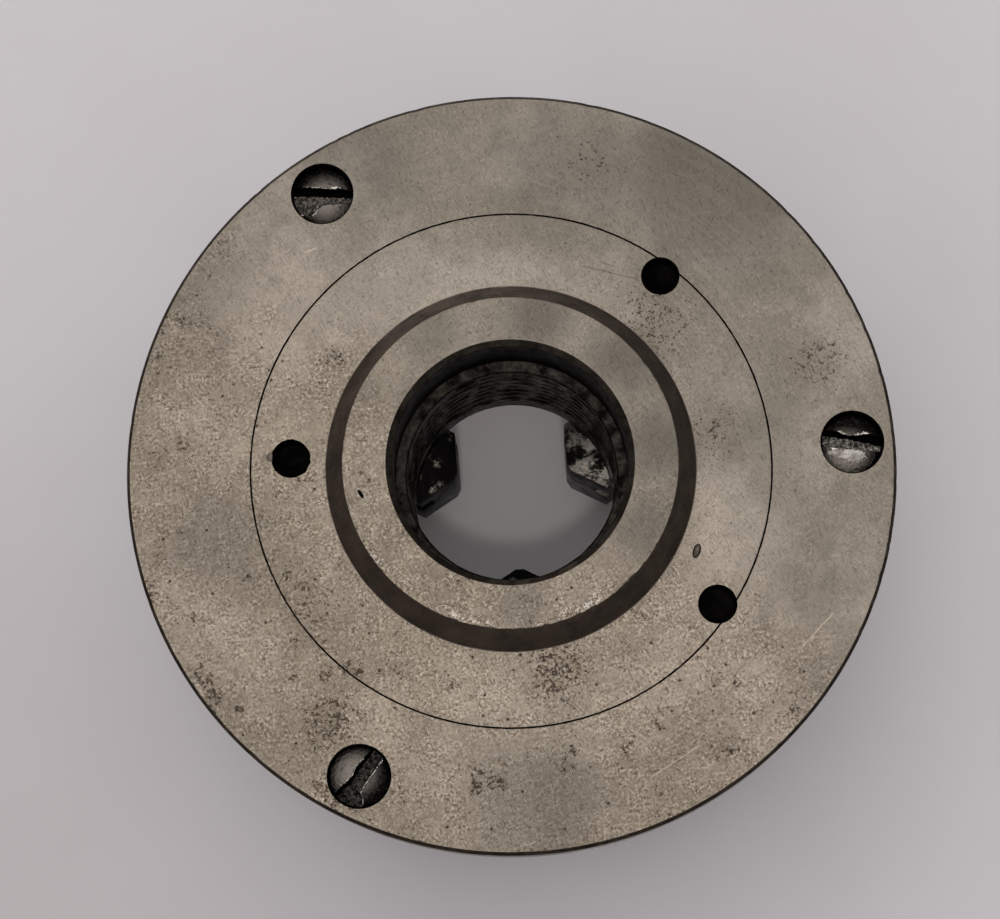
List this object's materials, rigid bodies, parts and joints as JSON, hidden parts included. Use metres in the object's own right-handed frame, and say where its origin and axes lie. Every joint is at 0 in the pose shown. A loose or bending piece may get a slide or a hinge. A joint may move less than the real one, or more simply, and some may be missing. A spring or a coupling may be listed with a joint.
{
  "type": "lathe chuck",
  "caption": "Self-centring scroll chuck for a lathe, with stepped outside jaws, a screwed rear cover and a threaded spindle flange with a short tapered boss.",
  "frame": {"origin": "on the spindle axis, on the surface that the jaws stand on", "axes": "+Z along the spindle axis, out of the rear face; the first cover screw lies towards +X and the third jaw towards -Y"},
  "size_m": [0.125, 0.125, 0.0775],
  "materials": {
    "body": "machined cast iron, turned, oiled and darkened with age",
    "cover": "turned steel, satin, pitted and stained",
    "flange": "turned steel, satin, pitted and stained",
    "screw": "worn steel, chewed slots",
    "jaw": "ground hardened steel, mottled",
    "scroll": "machined steel, oiled",
    "pinion": "machined steel, oiled",
    "pin": "ground steel",
    "washer": "plain bronze, oiled"
  },
  "bodies": {
    "body": {"chuck_body": "body", "rear_cover_ring": "cover", "spindle_flange": "flange", "scroll_thrust_washer": "washer", "pinion_pin_1": "pin", "cover_screw_1": "screw", "flange_dowel_1": "pin", "pinion_pin_2": "pin", "cover_screw_2": "screw", "flange_dowel_2": "pin", "pinion_pin_3": "pin", "cover_screw_3": "screw", "flange_dowel_3": "pin"},
    "scroll": {"scroll_plate": "scroll"},
    "jaw_1": {"jaw_1": "jaw"},
    "pinion_1": {"pinion_1": "pinion"},
    "jaw_2": {"jaw_2": "jaw"},
    "pinion_2": {"pinion_2": "pinion"},
    "jaw_3": {"jaw_3": "jaw"},
    "pinion_3": {"pinion_3": "pinion"}
  },
  "joints": [
    {"name": "scroll_spin", "type": "hinge", "parent": "body", "child": "scroll", "pos_m": [0, 0, 0.04], "axis": [0, 0, 1], "range_deg": [-540, 1440]},
    {"name": "jaw_1_slide", "type": "slide", "parent": "body", "child": "jaw_1", "axis": [0.866, 0.5, 0], "range_m": [-0.00901, 0.02401]},
    {"name": "jaw_2_slide", "type": "slide", "parent": "body", "child": "jaw_2", "axis": [-0.866, 0.5, 0], "range_m": [-0.00901, 0.02401]},
    {"name": "jaw_3_slide", "type": "slide", "parent": "body", "child": "jaw_3", "axis": [0, -1, 0], "range_m": [-0.00901, 0.02401]},
    {"name": "pinion_1_spin", "type": "hinge", "parent": "body", "child": "pinion_1", "pos_m": [0, 0.056, 0.0537], "axis": [0, 1, 0], "range_deg": [-3848, 10261]},
    {"name": "pinion_2_spin", "type": "hinge", "parent": "body", "child": "pinion_2", "pos_m": [-0.0485, -0.028, 0.0537], "axis": [-0.866, -0.5, 0], "range_deg": [-3848, 10261]},
    {"name": "pinion_3_spin", "type": "hinge", "parent": "body", "child": "pinion_3", "pos_m": [0.0485, -0.028, 0.0537], "axis": [0.866, -0.5, 0], "range_deg": [-3848, 10261]}
  ],
  "couplings": [
    {"joint": "jaw_1_slide", "follows": "scroll_spin", "m_per_rad": 0.00095493},
    {"joint": "jaw_2_slide", "follows": "scroll_spin", "m_per_rad": 0.00095493},
    {"joint": "jaw_3_slide", "follows": "scroll_spin", "m_per_rad": 0.00095493},
    {"joint": "pinion_1_spin", "follows": "scroll_spin", "ratio": 7.125},
    {"joint": "pinion_2_spin", "follows": "scroll_spin", "ratio": 7.125},
    {"joint": "pinion_3_spin", "follows": "scroll_spin", "ratio": 7.125}
  ]
}
